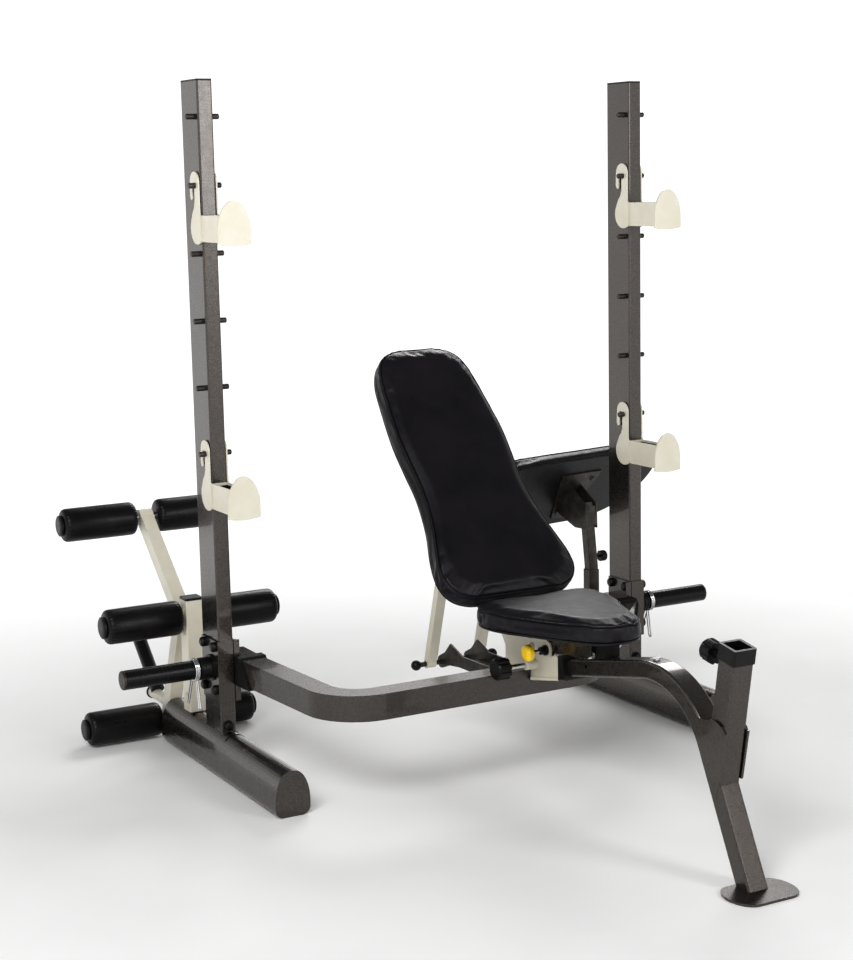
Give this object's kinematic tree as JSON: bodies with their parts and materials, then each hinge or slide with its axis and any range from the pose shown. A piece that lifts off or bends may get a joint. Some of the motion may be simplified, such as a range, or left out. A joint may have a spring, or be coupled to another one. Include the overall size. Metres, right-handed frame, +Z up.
{
  "type": "olympic bench press",
  "caption": "Incline barbell bench with wide uprights, peg-hung bar hooks, reclining backrest, weight horns, and a stored leg developer and arm-curl pad.",
  "frame": {"origin": "on the floor, at the middle of the machine's footprint box", "axes": "+X to the right seen from the seat end, +Y from the seat end towards the uprights and stored attachments, +Z up"},
  "size_m": [1.7346, 1.9686, 1.645],
  "materials": {
    "frame_paint": "grey-brown hammertone powder coat, satin with a metallic glint",
    "cream_paint": "cream powder coat, satin",
    "grey_steel": "dark grey painted steel, satin",
    "black_plastic": "moulded black plastic, fine grain",
    "black_rubber": "black rubber, matte",
    "horn_sleeve": "black plastic sleeve, semi gloss",
    "chrome": "bright plated steel",
    "yellow_plastic": "moulded yellow plastic, semi gloss",
    "vinyl": "black upholstery vinyl, fine grain, satin",
    "foam": "closed-cell black foam, matte"
  },
  "bodies": {
    "rack": {"feet": "frame_paint", "uprights": "frame_paint", "tube_end_caps": "black_plastic", "pegs": "grey_steel", "clamp_brackets": "frame_paint", "frame_bolts": "chrome", "bolt_caps": "black_plastic", "crossmember": "frame_paint", "arm_boots": "black_rubber", "weight_horns": "horn_sleeve", "horn_collars": "black_plastic", "horn_end_caps": "grey_steel", "spine_socket": "cream_paint", "spine_sleeve": "black_plastic", "spine": "frame_paint", "foot_plate": "frame_paint", "receiver_post": "frame_paint", "receiver_gussets": "frame_paint", "receiver_bushing": "black_plastic", "storage_stubs": "grey_steel", "ladder": "grey_steel", "bench_pins": "chrome", "pop_pin_barrel": "black_plastic"},
    "hook_body_lower_left": {"hook_lower_left": "cream_paint"},
    "hook_body_lower_right": {"hook_lower_right": "cream_paint"},
    "hook_body_upper_left": {"hook_upper_left": "cream_paint"},
    "hook_body_upper_right": {"hook_upper_right": "cream_paint"},
    "backrest": {"backrest_pad": "vinyl", "backrest_frame": "cream_paint"},
    "strut_assembly": {"strut": "cream_paint", "strut_rod": "grey_steel", "strut_rod_caps": "black_plastic"},
    "seat": {"seat_pad": "vinyl", "seat_bracket": "frame_paint", "seat_stop": "black_rubber"},
    "pop_pin": {"pop_pin_knob": "yellow_plastic", "pop_pin_shaft": "chrome"},
    "clamp_screw": {"socket_knob": "black_plastic", "socket_screw": "chrome"},
    "receiver_screw": {"receiver_knob": "black_plastic"},
    "left_clip_body": {"left_clip": "chrome"},
    "right_clip_body": {"right_clip": "chrome"},
    "developer": {"developer_post": "cream_paint", "developer_bushings": "black_plastic", "developer_caps": "black_plastic", "knee_axle": "chrome"},
    "swing": {"swing_arm": "cream_paint", "arm_axles": "chrome", "arm_caps": "black_plastic", "developer_horn": "horn_sleeve"},
    "roller_top_left_body": {"roller_top_left": "foam"},
    "roller_top_right_body": {"roller_top_right": "foam"},
    "roller_mid_left_body": {"roller_mid_left": "foam"},
    "roller_mid_right_body": {"roller_mid_right": "foam"},
    "roller_low_left_body": {"roller_low_left": "foam"},
    "roller_low_right_body": {"roller_low_right": "foam"},
    "preacher": {"preacher_post": "grey_steel", "preacher_bracket": "grey_steel", "preacher_pad": "vinyl"},
    "preacher_screw": {"preacher_knob": "black_plastic"}
  },
  "joints": [
    {"name": "hook_lower_left_lift", "type": "hinge", "parent": "rack", "child": "hook_body_lower_left", "pos_m": [-0.61726, 0.35819, 0.7806], "axis": [-1, 0, 0], "range_deg": [0, 50]},
    {"name": "hook_lower_right_lift", "type": "hinge", "parent": "rack", "child": "hook_body_lower_right", "pos_m": [0.57274, 0.35819, 0.7806], "axis": [-1, 0, 0], "range_deg": [0, 50]},
    {"name": "hook_upper_left_lift", "type": "hinge", "parent": "rack", "child": "hook_body_upper_left", "pos_m": [-0.61726, 0.35819, 1.4046], "axis": [-1, 0, 0], "range_deg": [0, 50]},
    {"name": "hook_upper_right_lift", "type": "hinge", "parent": "rack", "child": "hook_body_upper_right", "pos_m": [0.57274, 0.35819, 1.4046], "axis": [-1, 0, 0], "range_deg": [0, 50]},
    {"name": "backrest_recline", "type": "hinge", "parent": "rack", "child": "backrest", "pos_m": [-0.02226, -0.00331, 0.375], "axis": [1, 0, 0], "range_deg": [-47.76, 0]},
    {"name": "strut_fold", "type": "hinge", "parent": "rack", "child": "strut_assembly", "pos_m": [-0.02226, 0.28269, 0.211], "axis": [1, 0, 0], "range_deg": [-81.1, 0]},
    {"name": "seat_tilt", "type": "hinge", "parent": "rack", "child": "seat", "pos_m": [-0.02226, -0.14731, 0.342], "axis": [-1, 0, 0], "range_deg": [0, 15]},
    {"name": "pop_pin_pull", "type": "slide", "parent": "rack", "child": "pop_pin", "axis": [-1, 0, 0], "range_m": [0, 0.012], "stiffness_N_per_m": 600},
    {"name": "clamp_screw_turn", "type": "hinge", "parent": "rack", "child": "clamp_screw", "pos_m": [-0.02226, -0.15731, 0.303], "axis": [1, 0, 0], "continuous": true},
    {"name": "receiver_screw_turn", "type": "hinge", "parent": "rack", "child": "receiver_screw", "pos_m": [-0.02226, -0.84932, 0.44812], "axis": [0, 0.9863, 0.165], "continuous": true},
    {"name": "left_clip_slide", "type": "slide", "parent": "rack", "child": "left_clip_body", "axis": [-1, 0, 0], "range_m": [0, 0.16]},
    {"name": "right_clip_slide", "type": "slide", "parent": "rack", "child": "right_clip_body", "axis": [1, 0, 0], "range_m": [0, 0.16]},
    {"name": "developer_lift", "type": "slide", "parent": "rack", "child": "developer", "axis": [0, 0, 1], "range_m": [0, 0.2]},
    {"name": "swing_arm_lift", "type": "hinge", "parent": "developer", "child": "swing", "pos_m": [-0.61726, 0.61169, 0.338], "axis": [1, 0, 0], "range_deg": [0, 60]},
    {"name": "roller_top_left_spin", "type": "hinge", "parent": "swing", "child": "roller_top_left_body", "pos_m": [-0.61726, 0.85769, 0.553], "axis": [1, 0, 0], "continuous": true},
    {"name": "roller_top_right_spin", "type": "hinge", "parent": "swing", "child": "roller_top_right_body", "pos_m": [-0.61726, 0.85769, 0.553], "axis": [1, 0, 0], "continuous": true},
    {"name": "roller_mid_left_spin", "type": "hinge", "parent": "developer", "child": "roller_mid_left_body", "pos_m": [-0.61726, 0.56069, 0.347], "axis": [1, 0, 0], "continuous": true},
    {"name": "roller_mid_right_spin", "type": "hinge", "parent": "developer", "child": "roller_mid_right_body", "pos_m": [-0.61726, 0.56069, 0.347], "axis": [1, 0, 0], "continuous": true},
    {"name": "roller_low_left_spin", "type": "hinge", "parent": "swing", "child": "roller_low_left_body", "pos_m": [-0.61726, 0.73269, 0.046], "axis": [1, 0, 0], "continuous": true},
    {"name": "roller_low_right_spin", "type": "hinge", "parent": "swing", "child": "roller_low_right_body", "pos_m": [-0.61726, 0.73269, 0.046], "axis": [1, 0, 0], "continuous": true},
    {"name": "preacher_lift", "type": "slide", "parent": "rack", "child": "preacher", "axis": [0, 0, 1], "range_m": [0, 0.17]},
    {"name": "preacher_screw_turn", "type": "hinge", "parent": "preacher", "child": "preacher_screw", "pos_m": [0.57274, 0.55569, 0.358], "axis": [1, 0, 0], "continuous": true}
  ],
  "couplings": [
    {"joint": "strut_fold", "follows": "backrest_recline", "ratio": 1.696}
  ]
}
